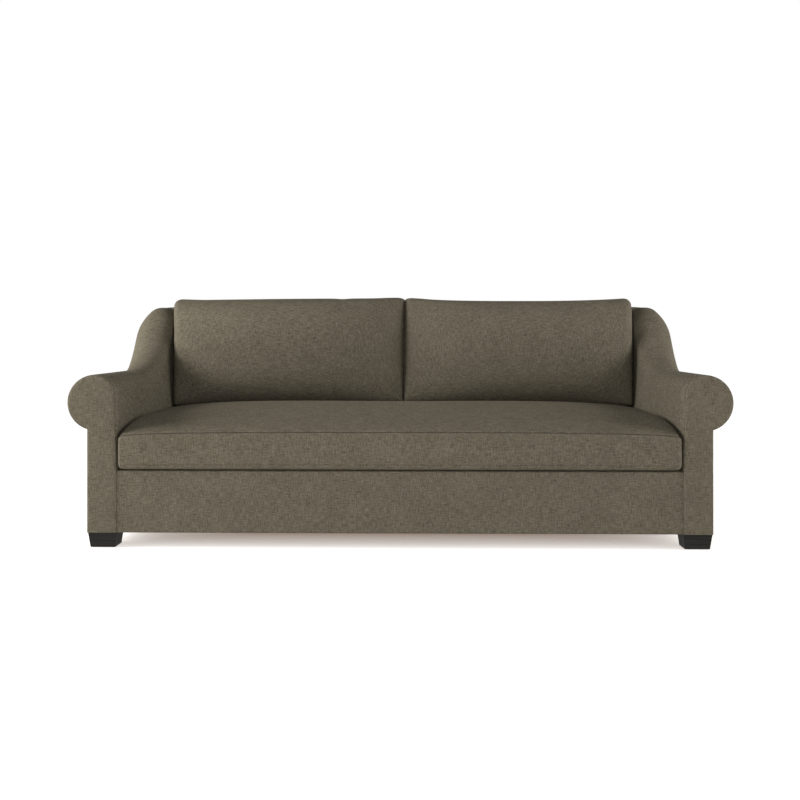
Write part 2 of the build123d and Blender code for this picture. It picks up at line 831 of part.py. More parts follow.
back_cushion_fill = back_cushion_form(fabric)
with BuildPart() as back_cushion_cover:
    add(back_cushion_form(0))
    add(back_cushion_fill, mode=Mode.SUBTRACT)
save_pair(back_cushion_cover, "back_cushion_cover")

with BuildPart() as back_cushion_core:
    add(back_cushion_fill)
save_pair(back_cushion_core, "back_cushion_core")
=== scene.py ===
from math import asin, cos, pi, radians, sin

import bmesh
import bpy
import numpy as np
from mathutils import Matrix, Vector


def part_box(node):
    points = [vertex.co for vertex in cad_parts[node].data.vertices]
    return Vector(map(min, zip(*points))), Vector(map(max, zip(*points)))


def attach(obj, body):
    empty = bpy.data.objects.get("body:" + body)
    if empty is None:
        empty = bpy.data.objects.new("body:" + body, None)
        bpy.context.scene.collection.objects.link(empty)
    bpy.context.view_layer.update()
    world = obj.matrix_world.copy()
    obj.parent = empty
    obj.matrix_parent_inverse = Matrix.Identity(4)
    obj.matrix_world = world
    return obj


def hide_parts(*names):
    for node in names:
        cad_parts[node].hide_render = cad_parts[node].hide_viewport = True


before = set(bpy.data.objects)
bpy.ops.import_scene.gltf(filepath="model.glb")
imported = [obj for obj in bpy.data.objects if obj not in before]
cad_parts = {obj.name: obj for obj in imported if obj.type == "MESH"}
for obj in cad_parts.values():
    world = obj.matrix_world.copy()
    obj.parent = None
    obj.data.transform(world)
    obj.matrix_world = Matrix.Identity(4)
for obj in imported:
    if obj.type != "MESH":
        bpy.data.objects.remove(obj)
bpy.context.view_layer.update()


# Base and back frame: kiln-dried hardwood rails, posts and uprights, sawn square.
# They are glued, corner-blocked and screwed, and the cloth hides all of them.

PALE_TIMBER = (0.50, 0.33, 0.17, 1)
DARK_TIMBER = (0.34, 0.20, 0.09, 1)
GRAIN_ALONG = 6
GRAIN_ACROSS = 90
GRAIN_BAND = (0.35, 0.65)
GRAIN_HEIGHT = 0.0006


def add_node(tree, kind, inputs, **settings):
    """A shader node with its settings and inputs, each input a value or another node's output."""
    made = tree.nodes.new("ShaderNode" + kind)
    for setting, value in settings.items():
        setattr(made, setting, value)
    for name, value in inputs.items():
        if isinstance(value, bpy.types.NodeSocket):
            tree.links.new(value, made.inputs[name])
        else:
            made.inputs[name].default_value = value
    return made.outputs


def new_finish(name):
    """An empty material with its tree, its main shader's inputs and the place on the piece."""
    finish = bpy.data.materials.new(name)
    finish.use_nodes = True
    tree = finish.node_tree
    shader = tree.nodes["Principled BSDF"]
    place = add_node(tree, "TexCoord", {})
    return finish, tree, shader, place


def stretched_noise(tree, place, stretch, detail=3.0):
    """Noise that is finer along the axes with the larger numbers."""
    scaled = add_node(tree, "Mapping", {"Vector": place, "Scale": stretch})["Vector"]
    return add_node(tree, "TexNoise", {"Vector": scaled, "Scale": 1.0, "Detail": detail})["Fac"]


def two_tones(tree, share, low, high, dark, light):
    """A colour from dark to light as the share goes from low to high."""
    ramp = tree.nodes.new("ShaderNodeValToRGB")
    ramp.color_ramp.elements[0].position = low
    ramp.color_ramp.elements[0].color = dark
    ramp.color_ramp.elements[1].position = high
    ramp.color_ramp.elements[1].color = light
    tree.links.new(share, ramp.inputs["Fac"])
    return ramp.outputs["Color"]


def grained_wood(name, axis, dark, light, roughness, bump):
    """Wood whose grain runs along one axis."""
    finish, tree, shader, place = new_finish(name)
    stretch = [GRAIN_ACROSS] * 3
    stretch[axis] = GRAIN_ALONG
    grain = stretched_noise(tree, place["Object"], stretch)
    tree.links.new(two_tones(tree, grain, *GRAIN_BAND, dark, light), shader.inputs["Base Color"])
    relief = add_node(tree, "Bump", {"Height": grain, "Strength": bump, "Distance": GRAIN_HEIGHT})["Normal"]
    tree.links.new(relief, shader.inputs["Normal"])
    shader.inputs["Roughness"].default_value = roughness
    return finish


def dress(node, finish):
    """Gives a carried-over piece its finish."""
    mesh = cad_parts[node].data
    mesh.materials.clear()
    mesh.materials.append(finish)


timber = [
    grained_wood(f"timber_{name}", axis, DARK_TIMBER, PALE_TIMBER, roughness=0.75, bump=0.4)
    for axis, name in enumerate("xyz")
]
for node in ("front_rail", "rear_seat_rail", "back_bottom_rail", "back_top_rail"):
    dress(node, timber[0])
for node in (
    "side_rail_left", "side_rail_right", "cross_rails", "corner_blocks",
    "arm_base_rail_left", "arm_base_rail_right",
):
    dress(node, timber[1])
for node in ("back_post_left", "back_post_right", "back_uprights"):
    dress(node, timber[2])


# Arm boards and panels: plywood cut to the arm's outline at the front and rear, with a sawn roll rail
# between them and thin ply panels down each side. A hardboard sheet closes the outside back.

PALE_PLY = (0.58, 0.42, 0.24, 1)
DARK_PLY = (0.44, 0.29, 0.15, 1)
HARDBOARD_DARK = (0.16, 0.09, 0.045, 1)
HARDBOARD_PALE = (0.24, 0.14, 0.075, 1)

plywood = grained_wood("plywood", 2, DARK_PLY, PALE_PLY, roughness=0.7, bump=0.25)
hardboard = grained_wood("hardboard", 0, HARDBOARD_DARK, HARDBOARD_PALE, roughness=0.6, bump=0.1)
for side in ("left", "right"):
    for board in ("front_board", "rear_board", "inner_panel", "outer_panel"):
        dress(f"arm_{board}_{side}", plywood)
    dress(f"arm_roll_rail_{side}", timber[1])


# Springs, clips and fasteners: sinuous springs of oil-tempered wire, held at the rails by steel clips.
# Screws, bolts and tee nuts of zinc-plated steel join the rails, the arms and the feet.

OILED_WIRE = (0.10, 0.09, 0.085, 1)
WORN_WIRE = (0.19, 0.175, 0.16, 1)
DULL_ZINC = (0.42, 0.42, 0.43, 1)
BRIGHT_ZINC = (0.62, 0.62, 0.62, 1)
PLATING_MARKS = (160, 160, 160)
GLOSS_SPREAD = 0.1


def plated_steel(name, dark, light, roughness):
    """Metal with faint cloudy marks in its colour and gloss."""
    finish, tree, shader, place = new_finish(name)
    marks = stretched_noise(tree, place["Object"], PLATING_MARKS)
    tree.links.new(two_tones(tree, marks, 0.3, 0.7, dark, light), shader.inputs["Base Color"])
    limits = {"To Min": roughness - GLOSS_SPREAD, "To Max": roughness + GLOSS_SPREAD}
    gloss = add_node(tree, "MapRange", {"Value": marks, **limits})["Result"]
    tree.links.new(gloss, shader.inputs["Roughness"])
    shader.inputs["Metallic"].default_value = 1
    return finish


wire = plated_steel("oiled_spring_wire", OILED_WIRE, WORN_WIRE, roughness=0.4)
zinc = plated_steel("zinc_plated_steel", DULL_ZINC, BRIGHT_ZINC, roughness=0.45)
dress("seat_springs", wire)
for node in ("spring_clips", "frame_screws", "arm_bolts", "arm_tee_nuts", "foot_bolts", "foot_tee_nuts"):
    dress(node, zinc)


# Webbing: elastic straps stapled across the back posts, ribbed along their length,
# which carry the back's padding.

WEB_DARK = (0.030, 0.029, 0.027, 1)
WEB_LIGHT = (0.085, 0.080, 0.072, 1)
WEB_RIB = 2 * pi / 0.005


def along(tree, place, axis):
    """One coordinate of a place."""
    return add_node(tree, "SeparateXYZ", {"Vector": place})["XYZ"[axis]]


def calculate(tree, operation, first, second=0.0):
    """One step of arithmetic on numbers or outputs."""
    return add_node(tree, "Math", {0: first, 1: second}, operation=operation)["Value"]


webbing, tree, shader, place = new_finish("elastic_webbing")
ribs = calculate(tree, "SINE", calculate(tree, "MULTIPLY", along(tree, place["Object"], 2), WEB_RIB))
tree.links.new(two_tones(tree, ribs, 0.0, 1.0, WEB_DARK, WEB_LIGHT), shader.inputs["Base Color"])
relief = add_node(tree, "Bump", {"Height": ribs, "Strength": 0.5, "Distance": 0.0005})["Normal"]
tree.links.new(relief, shader.inputs["Normal"])
shader.inputs["Roughness"].default_value = 0.9
dress("back_webbing", webbing)


# Feet: tapered blocks of hardwood, sawn, sanded and stained almost black under a satin lacquer.
# Each is bolted up into the arm's base rail, with a moulded glide nailed under it.

STAIN_DARK = (0.007, 0.0066, 0.006, 1)
STAIN_LIGHT = (0.022, 0.0208, 0.019, 1)
WORN_EDGE = (0.075, 0.062, 0.050, 1)
FOOT_GRAIN = (7, 190, 330)
GLIDE_DARK = (0.010, 0.010, 0.010, 1)
GLIDE_LIGHT = (0.022, 0.022, 0.022, 1)
GLIDE_SPECKLE = (700, 700, 700)

foot_stain, tree, shader, place = new_finish("dark_stained_wood")
grain = stretched_noise(tree, place["Object"], FOOT_GRAIN, detail=4.0)
stain = two_tones(tree, grain, 0.36, 0.66, STAIN_DARK, STAIN_LIGHT)
edge = add_node(tree, "NewGeometry", {})["Pointiness"]
edge_wear = {"From Min": 0.56, "From Max": 0.66, "To Max": 0.35}
rubbed = add_node(tree, "MapRange", {"Value": edge, **edge_wear})["Result"]
worn = add_node(tree, "MixRGB", {"Fac": rubbed, "Color1": stain, "Color2": WORN_EDGE})["Color"]
tree.links.new(worn, shader.inputs["Base Color"])
gloss = add_node(tree, "MapRange", {"Value": grain, "To Min": 0.46, "To Max": 0.66})["Result"]
tree.links.new(gloss, shader.inputs["Roughness"])
relief = add_node(tree, "Bump", {"Height": grain, "Strength": 0.35, "Distance": 0.0005})["Normal"]
tree.links.new(relief, shader.inputs["Normal"])
shader.inputs["Specular IOR Level"].default_value = 0.14
for end in ("front", "rear"):
    for side in ("left", "right"):
        dress(f"foot_{end}_{side}", foot_stain)

moulded_plastic, tree, shader, place = new_finish("moulded_glide_plastic")
speckle = stretched_noise(tree, place["Object"], GLIDE_SPECKLE)
tree.links.new(two_tones(tree, speckle, 0.3, 0.7, GLIDE_DARK, GLIDE_LIGHT), shader.inputs["Base Color"])
relief = add_node(tree, "Bump", {"Height": speckle, "Strength": 0.2, "Distance": 0.0003})["Normal"]
tree.links.new(relief, shader.inputs["Normal"])
shader.inputs["Roughness"].default_value = 0.55
dress("foot_glides", moulded_plastic)


# Dust cover: a black non-woven sheet stapled to the underside of the rails, slack between them.
# The insulator that lies on the springs is a felted sheet of the same kind, in grey.

LINING_DARK = (0.006, 0.006, 0.006, 1)
LINING_LIGHT = (0.020, 0.020, 0.020, 1)
DUST_SAG = 0.004
DUST_CELL = 0.026
DUST_BAYS = 3
LINING_FELT = (450, 450, 450)
INSULATOR_FIBRES = (200, 260, 260)


def new_piece(name, points, faces, finish):
    """A smooth-shaded piece of cloth or padding made from points and faces."""
    mesh = bpy.data.meshes.new(name)
    mesh.from_pydata([tuple(point) for point in points], [], faces)
    mesh.validate()
    shell = bmesh.new()
    shell.from_mesh(mesh)
    bmesh.ops.recalc_face_normals(shell, faces=shell.faces)
    shell.to_mesh(mesh)
    shell.free()
    mesh.shade_smooth()
    mesh.materials.append(finish)
    piece = bpy.data.objects.new(name, mesh)
    bpy.context.scene.collection.objects.link(piece)
    return piece


def even_steps(start, end, cell):
    """Evenly spaced numbers from start to end, about a cell apart."""
    return np.linspace(start, end, max(2, round(abs(end - start) / cell) + 1))


def box_shell(lines):
    """The surface of a box, divided along given lines in each direction, and each point's line numbers."""
    last = [len(line) - 1 for line in lines]
    number = {}

    def corner(*key):
        return number.setdefault(key, len(number))

    faces = []
    for axis in range(3):
        u, v = [other for other in range(3) if other != axis]
        for end in (0, last[axis]):
            for i in range(last[u]):
                for j in range(last[v]):
                    ring = []
                    for a, b in ((i, j), (i + 1, j), (i + 1, j + 1), (i, j + 1)):
                        key = [0, 0, 0]
                        key[axis], key[u], key[v] = end, a, b
                        ring.append(corner(*key))
                    faces.append(ring)
    keys = np.array(list(number))
    points = np.stack([np.asarray(lines[axis])[keys[:, axis]] for axis in range(3)], axis=1)
    return points, faces, keys


lining, tree, shader, place = new_finish("dust_cloth")
felt = stretched_noise(tree, place["Object"], LINING_FELT)
tree.links.new(two_tones(tree, felt, 0.35, 0.7, LINING_DARK, LINING_LIGHT), shader.inputs["Base Color"])
relief = add_node(tree, "Bump", {"Height": felt, "Strength": 0.4, "Distance": 0.0004})["Normal"]
tree.links.new(relief, shader.inputs["Normal"])
shader.inputs["Roughness"].default_value = 0.95

dust_low, dust_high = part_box("dust_cover")
points, faces, _ = box_shell([
    even_steps(dust_low.x, dust_high.x, DUST_CELL),
    even_steps(dust_low.y, dust_high.y, DUST_CELL),
    (dust_low.z, dust_high.z),
])
bay_across = DUST_BAYS * (points[:, 0] - dust_low.x) / (dust_high.x - dust_low.x)
bay_along = (points[:, 1] - dust_low.y) / (dust_high.y - dust_low.y)
points[:, 2] -= DUST_SAG * (np.sin(pi * bay_across) * np.sin(pi * bay_along)) ** 2
dust_sheet = new_piece("dust_sheet", points, faces, lining)
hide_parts("dust_cover")
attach(dust_sheet, "frame")

insulator_felt, tree, shader, place = new_finish("insulator_felt")
fibres = stretched_noise(tree, place["Object"], INSULATOR_FIBRES)
tree.links.new(two_tones(tree, fibres, 0.3, 0.7, WEB_DARK, WEB_LIGHT), shader.inputs["Base Color"])
shader.inputs["Roughness"].default_value = 1.0
dress("deck_insulator", insulator_felt)


# Front panel and deck: the sofa's cover cloth over a thin foam pad on the front rail, rolled under it,
# and the same cloth over a pad on the springs, where the seat cushion lies.

THREAD_DARK = (0.074, 0.0649, 0.0467, 1)
THREAD_MIDDLE = (0.141, 0.1226, 0.0886, 1)
THREAD_LIGHT = (0.219, 0.193, 0.142, 1)
THREAD_PITCH = 2 * pi / 0.0018
SLUB_LENGTH = 38
SLUB_WIDTH = 330
YARN_SHARE = 0.3133
CLOUD = 13
CLOUD_SHARE = 0.06
WARM_YARN = (1.012, 1.0, 0.985, 1)
COOL_YARN = (0.99, 1.0, 1.012, 1)
HUE_PATCH = 60
TONE_BAND = (0.38, 0.62)
WEAVE_RELIEF = 0.25
YARN_RELIEF = 1.5
# SEAM_SHADE is painted shade: the share of the cloth's colour left where a seam is fully marked.
SEAM_SHADE = 0.28
PANEL_EDGE = (0.002, 0.015, 0.020)
PANEL_PUFF = 0.009
DECK_EDGE = (0.006, 0.006, 0.006)
CLOTH_CELL = 0.020
CLOTH_BELOW = 0.0005
DECK_UNDERLAP = 0.010


def multiplied(tree, first, second):
    """Two colours multiplied."""
    colours = {"Fac": 1.0, "Color1": first, "Color2": second}
    return add_node(tree, "MixRGB", colours, blend_type="MULTIPLY")["Color"]


def woven_cloth():
    """The sofa's cover cloth: a felted plain weave of uneven yarn, with painted shade along its seams."""
    finish, tree, shader, place = new_finish("felted_weave")
    cloud = stretched_noise(tree, place["Object"], (CLOUD, CLOUD, CLOUD), 2.0)
    tone = calculate(tree, "MULTIPLY", cloud, CLOUD_SHARE)
    for axis in range(3):
        stretch = [SLUB_WIDTH] * 3
        stretch[axis] = SLUB_LENGTH
        yarn = calculate(tree, "MULTIPLY", stretched_noise(tree, place["Object"], stretch), YARN_SHARE)
        tone = calculate(tree, "ADD", tone, yarn)
    ramp = tree.nodes.new("ShaderNodeValToRGB")
    ramp.color_ramp.elements[0].position = TONE_BAND[0]
    ramp.color_ramp.elements[0].color = THREAD_DARK
    ramp.color_ramp.elements[1].position = TONE_BAND[1]
    ramp.color_ramp.elements[1].color = THREAD_LIGHT
    ramp.color_ramp.elements.new(0.5).color = THREAD_MIDDLE
    tree.links.new(tone, ramp.inputs["Fac"])
    hue = stretched_noise(tree, place["Object"], (HUE_PATCH, HUE_PATCH, HUE_PATCH))
    dyed = two_tones(tree, hue, 0.35, 0.65, WARM_YARN, COOL_YARN)
    colour = multiplied(tree, ramp.outputs["Color"], dyed)
    # Painted shade: the colour is darkened along the marked seams, standing in for shade in their creases.
    seam = add_node(tree, "Attribute", {}, attribute_name="seam")["Fac"]
    shade = add_node(tree, "MapRange", {"Value": seam, "To Min": 1.0, "To Max": SEAM_SHADE})["Result"]
    tree.links.new(multiplied(tree, colour, shade), shader.inputs["Base Color"])
    threads = []
    for axis in range(3):
        turns = calculate(tree, "MULTIPLY", along(tree, place["Object"], axis), THREAD_PITCH)
        threads.append(calculate(tree, "SINE", turns))
    weave = None
    for axis in range(3):
        first, second = [threads[other] for other in range(3) if other != axis]
        towards = calculate(tree, "ABSOLUTE", along(tree, place["Normal"], axis))
        facing = calculate(tree, "POWER", towards, 2.0)
        crossing = calculate(tree, "MULTIPLY", facing, calculate(tree, "MULTIPLY", first, second))
        weave = crossing if weave is None else calculate(tree, "ADD", weave, crossing)
    weave = calculate(tree, "MULTIPLY", weave, WEAVE_RELIEF)
    height = calculate(tree, "ADD", weave, calculate(tree, "MULTIPLY", tone, YARN_RELIEF))
    relief = add_node(tree, "Bump", {"Height": height, "Strength": 0.45, "Distance": 0.0007})["Normal"]
    tree.links.new(relief, shader.inputs["Normal"])
    nap_limits = {"From Min": TONE_BAND[0], "From Max": TONE_BAND[1], "To Min": 0.98, "To Max": 0.82}
    nap = add_node(tree, "MapRange", {"Value": tone, **nap_limits})["Result"]
    tree.links.new(nap, shader.inputs["Roughness"])
    shader.inputs["Specular IOR Level"].default_value = 0.06
    shader.inputs["Sheen Weight"].default_value = 0.02
    shader.inputs["Sheen Roughness"].default_value = 0.5
    shader.inputs["Sheen Tint"].default_value = (0.80, 0.70, 0.55, 1)
    return finish


def edged_steps(start, end, edge, cell, edge_steps=5):
    """Steps from start to end, close together over the soft edge at each end."""
    near = np.linspace(start, start + edge, edge_steps + 1)
    far = np.linspace(end - edge, end, edge_steps + 1)
    middle = even_steps(start + edge, end - edge, cell)
    return np.concatenate([near[:-1], middle, far[1:]])


def soft_edges(points, low, high, edge):
    """Rounds a box's edges and corners, by its own radius in each direction."""
    edge = np.asarray(edge)
    core = np.clip(points, np.asarray(low) + edge, np.asarray(high) - edge)
    out = (points - core) / edge
    reach = np.maximum(np.linalg.norm(out, axis=1, keepdims=True), 1.0)
    return core + edge * out / reach


def padded_slab(name, low, high, edge, finish):
    """A padded board with soft edges."""
    lines = [edged_steps(low[axis], high[axis], edge[axis], CLOTH_CELL) for axis in range(3)]
    points, faces, _ = box_shell(lines)
    return new_piece(name, soft_edges(points, low, high, edge), faces, finish)


cover_cloth = woven_cloth()
panel_low, panel_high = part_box("front_panel_cover")
_, pad_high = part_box("front_panel_pad")
front_panel = padded_slab(
    "front_panel",
    (panel_low.x, panel_low.y - PANEL_PUFF, panel_low.z - CLOTH_BELOW),
    (panel_high.x, pad_high.y, panel_high.z),
    PANEL_EDGE,
    cover_cloth,
)
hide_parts("front_panel_cover", "front_panel_pad")
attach(front_panel, "frame")

deck_low, deck_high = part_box("deck_cover")
deck_pad_low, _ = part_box("deck_pad")
deck = padded_slab(
    "deck",
    (deck_low.x, pad_high.y - DECK_UNDERLAP, deck_pad_low.z),
    (deck_high.x, deck_high.y, deck_high.z),
    DECK_EDGE,
    cover_cloth,
)
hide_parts("deck_cover", "deck_pad")
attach(deck, "frame")


# Arms: cover cloth pulled over foam, round the roll and down both sides, and stapled under the base rail.
# The arm's top runs level, then swoops up to the back. A padded facing closes the front of each.

ROLL_RADIUS = 0.103
ROLL_OVERHANG = 0.073
ARM_THICKNESS = 0.109
ARM_LEAN = 0.007
SWOOP_TURN = radians(60)
SWOOP_UPPER_RADIUS = 0.106
SHOULDER_LENGTH = 0.100
BACK_RAKE = 0.055
FOOT_EDGE = 0.004
REAR_TAPER = 0.012
TAPER_FADE = 0.30
TAPER_PLACES = (0.0, 0.18, 0.35, 0.50, 0.63, 0.76, 0.88, 1.0)
TAPER_SHARES = (0.0, 0.42, 0.84, 0.93, 0.78, 0.66, 0.80, 1.0)
REAR_FLATTEN = 0.045
FLATTEN_END = radians(72)
REAR_SQUARE = 0.02
SQUARE_START = radians(50)
FACING_SOFT_EDGE = 0.002
ARM_PUFF = 0.005
FACING_SEAM_TUCK = 0.004
# How strongly painted seam shade darkens the seam rings of the arms, facings and outside back.
PAINTED_EDGE_SEAM_SHADE = 0.4
SEAT_SIDE = 0.40
SEAT_SIDE_FADE = 0.06
FACING_DEPTH = 0.013
FACING_RUN = 0.040
FACING_SEAM_RUN = 0.005
PUFF_RISE = 0.035
PUFF_END = 0.55
PUFF_FALL = 0.40
LEAN_START = 0.1
ARM_REAR_GAP = 0.006
REAR_TURN = (0.004, 0.003)
ARM_FRONT_RINGS = ((0.0130, 1.0), (0.0150, 0.82), (0.0185, 0.55), (0.024, 0.28), (0.031, 0.10))
FACING_RINGS = (
    (0.0140, 0.0050), (0.0125, 0.0025), (0.0110, 0.0006), (0.0090, 0.0), (0.0064, 0.0002),
    (0.0042, 0.0009), (0.0025, 0.0024), (0.0012, 0.0052), (0.0004, 0.0094), (0.0, 0.0150),
)
STATION_STEP = 0.016
ROLL_STEPS = 30
CORNER_STEPS = 12
OUTER_STEPS = 22
INNER_STEPS = 16
BESIDE_SEAT_STEPS = 8
FOOT_STEPS = 4
LOWER_SWOOP_STEPS = 22
UPPER_SWOOP_STEPS = 14
SHARPEST_MITRE = 0.3

facing_low, facing_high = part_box("arm_facing_right")
_, back_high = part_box("outside_back_cover")
arm_top = facing_high.z
arm_foot = facing_low.z - CLOTH_BELOW
arm_front = facing_low.y
deck_top = deck_high.z
back_top = back_high.z
back_rear = back_high.y
outer_face = facing_high.x - ROLL_OVERHANG
inner_face = outer_face - ARM_THICKNESS
roll_centre = facing_high.x - ROLL_RADIUS
corner_radius = roll_centre - inner_face - ARM_LEAN


def arc_points(centre, radius, start, end, count):
    """Points along an arc, from one angle to another."""
    turns = np.linspace(start, end, count)
    return [(centre[0] + radius * cos(turn), centre[1] + radius * sin(turn)) for turn in turns]


def line_points(start, end, count):
    """Points along a line, without its last."""
    start, end = np.array(start), np.array(end)
    return [tuple(start + (end - start) * share / count) for share in range(count)]


def arm_outline(top, foot_edge=FOOT_EDGE):
    """The arm's section under a top height, as across and up, from its outer foot over the roll and back."""
    underside = asin((outer_face - roll_centre) / ROLL_RADIUS) - pi / 2
    roll = arc_points((roll_centre, top - ROLL_RADIUS), ROLL_RADIUS, underside, pi / 2, ROLL_STEPS)
    corner = arc_points((roll_centre, top - corner_radius), corner_radius, pi / 2, pi, CORNER_STEPS)
    outer_start = (outer_face, arm_foot + foot_edge)
    inner_end = (inner_face, arm_foot + foot_edge)
    outline = line_points(outer_start, roll[0], OUTER_STEPS)
    outline += roll + corner[1:]
    outline += line_points(corner[-1], (inner_face, deck_top), INNER_STEPS)[1:]
    outline += line_points((inner_face, deck_top), inner_end, BESIDE_SEAT_STEPS)
    if foot_edge:
        inner_foot = (inner_face + foot_edge, arm_foot + foot_edge)
        outer_foot = (outer_face - foot_edge, arm_foot + foot_edge)
        outline += arc_points(inner_foot, foot_edge, pi, 1.5 * pi, FOOT_STEPS)
        outline += arc_points(outer_foot, foot_edge, 1.5 * pi, 2 * pi, FOOT_STEPS)[:-1]
    else:
        outline.append(inner_end)
    return np.array(outline)


def slimmed(outline, top, share):
    """An arm's outline with its roll drawn in and flattened, by a share of the way up the swoop."""
    taper = REAR_TAPER * np.interp(share, TAPER_PLACES, TAPER_SHARES)
    slim = outline.copy()
    spoke = outline - np.array((roll_centre, top - ROLL_RADIUS))
    around = np.arctan2(spoke[:, 1], spoke[:, 0])
    flat = REAR_FLATTEN * np.sin(pi * np.clip(around / FLATTEN_END, 0, 1)) ** 2
    flat -= REAR_SQUARE * np.sin(pi * np.clip((around - SQUARE_START) / (pi / 2 - SQUARE_START), 0, 1)) ** 2
    slim -= spoke * (share * flat)[:, None]
    raised = np.clip((outline[:, 1] - arm_foot) / TAPER_FADE, 0, 1) ** 2
    slim[:, 0] -= taper * raised * np.clip((outline[:, 0] - inner_face) / (roll_centre - inner_face), 0, 1)
    return slim


def drawn_in(outline, distance):
    """A closed outline moved inwards, by one distance or by one for each point."""
    before = outline - np.roll(outline, 1, axis=0)
    after = np.roll(outline, -1, axis=0) - outline
    normals = []
    for step in (before, after):
        inward = np.stack([-step[:, 1], step[:, 0]], axis=1)
        normals.append(inward / np.maximum(np.linalg.norm(inward, axis=1, keepdims=True), 1e-9))
    mitre = normals[0] + normals[1]
    mitre /= np.maximum(1 + np.sum(normals[0] * normals[1], axis=1, keepdims=True), SHARPEST_MITRE)
    return outline + mitre * np.broadcast_to(np.asarray(distance, float), len(outline))[:, None]


def tube(name, rings, finish, seams=()):
    """A closed piece from rings of points, with flat ends, and painted seam shade along some of its rings."""
    count = len(rings[0])
    faces = []
    for ring in range(len(rings) - 1):
        for i in range(count):
            j = (i + 1) % count
            faces.append((ring * count + i, ring * count + j, (ring + 1) * count + j, (ring + 1) * count + i))
    last = (len(rings) - 1) * count
    faces.append(tuple(range(count)))
    faces.append(tuple(range(last, last + count)))
    piece = new_piece(name, np.concatenate(rings), faces, finish)
    # The seam rings get painted shade: the cloth's colour is darkened along them.
    seam = np.zeros((len(rings), count), np.float32)
    seam[list(seams)] = PAINTED_EDGE_SEAM_SHADE
    piece.data.attributes.new("seam", "FLOAT", "POINT").data.foreach_set("value", seam.ravel())
    return piece


def rear_of(height):
    """Where the raked outside back lies at a height."""
    return back_rear - BACK_RAKE * (back_top - height) / (back_top - facing_low.z)


swoop_radii = (back_top - arm_top) / (1 - cos(SWOOP_TURN))
lower_radius = swoop_radii - SWOOP_UPPER_RADIUS
shoulder = back_rear - SHOULDER_LENGTH
swoop_start = shoulder - swoop_radii * sin(SWOOP_TURN)
cloth_end = back_rear - ARM_REAR_GAP

top_line = [(y, arm_top) for y in even_steps(arm_front + FACING_RUN, swoop_start, STATION_STEP)]
for turn in np.linspace(0, SWOOP_TURN, LOWER_SWOOP_STEPS)[1:]:
    top_line.append((swoop_start + lower_radius * sin(turn), arm_top + lower_radius * (1 - cos(turn))))
for turn in np.linspace(SWOOP_TURN, 0, UPPER_SWOOP_STEPS)[1:]:
    fall = SWOOP_UPPER_RADIUS * (1 - cos(turn))
    top_line.append((shoulder - SWOOP_UPPER_RADIUS * sin(turn), back_top - fall))
top_line += [(y, back_top) for y in even_steps(shoulder, cloth_end, STATION_STEP)[1:]]


def placed(outline, y, side, lean_back=0.0):
    """An outline stood across the sofa at a depth, on one side, leaning with the rear by a share."""
    rear_lean = lean_back * (rear_of(outline[:, 1]) - back_rear)
    return np.stack([side * outline[:, 0], y + rear_lean, outline[:, 1]], axis=1)


front_outline = arm_outline(arm_top)
facing_outline = arm_outline(arm_top, foot_edge=0)


def inner_side(outline):
    """One on the arm's inner side above the seat, and nought on the roll and beside the seat."""
    inwards = np.clip((roll_centre - outline[:, 0]) / corner_radius, 0, 1)
    return inwards * np.clip((outline[:, 1] - SEAT_SIDE) / SEAT_SIDE_FADE, 0, 1)


def arm_puff(depth):
    """How far the arm's padding swells inwards at a depth behind the facing."""
    swell = sin(pi / 2 * np.clip((depth - FACING_DEPTH) / PUFF_RISE, 0, 1))
    return ARM_PUFF * swell * np.clip((PUFF_END - depth) / PUFF_FALL, 0, 1)


for side, hand in ((-1, "left"), (1, "right")):
    rings = []
    for depth, tuck in ARM_FRONT_RINGS:
        draw = inner_side(front_outline) * (FACING_SOFT_EDGE * tuck - arm_puff(depth))
        draw += FACING_SEAM_TUCK * max(0.0, 1 - (depth - FACING_DEPTH) / FACING_SEAM_RUN)
        rings.append(placed(drawn_in(front_outline, draw), arm_front + depth, side))
    for y, top in top_line:
        lean_back = np.clip((y - LEAN_START) / (cloth_end - LEAN_START), 0, 1)
        slimming = np.clip((y - swoop_start) / (shoulder - swoop_start), 0, 1)
        outline = arm_outline(top)
        swollen = drawn_in(outline, -arm_puff(y - arm_front) * inner_side(outline))
        rings.append(placed(slimmed(swollen, top, slimming), y, side, lean_back))
    rear_end = slimmed(arm_outline(back_top), back_top, 1.0)
    rings[-1] = placed(rear_end, cloth_end - REAR_TURN[0], side, 1.0)
    rings.append(placed(drawn_in(rear_end, REAR_TURN[1]), cloth_end, side, 1.0))
    # Its first two rings, at the groove by the facing, get painted seam shade.
    arm = tube(f"arm_{hand}", rings, cover_cloth, seams=(0, 1))
    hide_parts(f"arm_cover_{hand}", f"arm_padding_{hand}")
    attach(arm, "frame")

    rings = []
    for depth, draw in FACING_RINGS:
        inward = FACING_SOFT_EDGE * inner_side(facing_outline) + draw
        rings.append(placed(drawn_in(facing_outline, inward), arm_front + depth, side))
    # Its two rear rings, in the groove by the arm, get painted seam shade.
    facing = tube(f"facing_{hand}", rings, cover_cloth, seams=(0, 1))
    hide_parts(f"arm_facing_{hand}")
    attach(facing, "frame")


# Back: cover cloth over foam and webbing on the inside and top, and a flat outside back panel.
# The outside back is one piece of cloth on hardboard, shaped round the ends of both rolls.

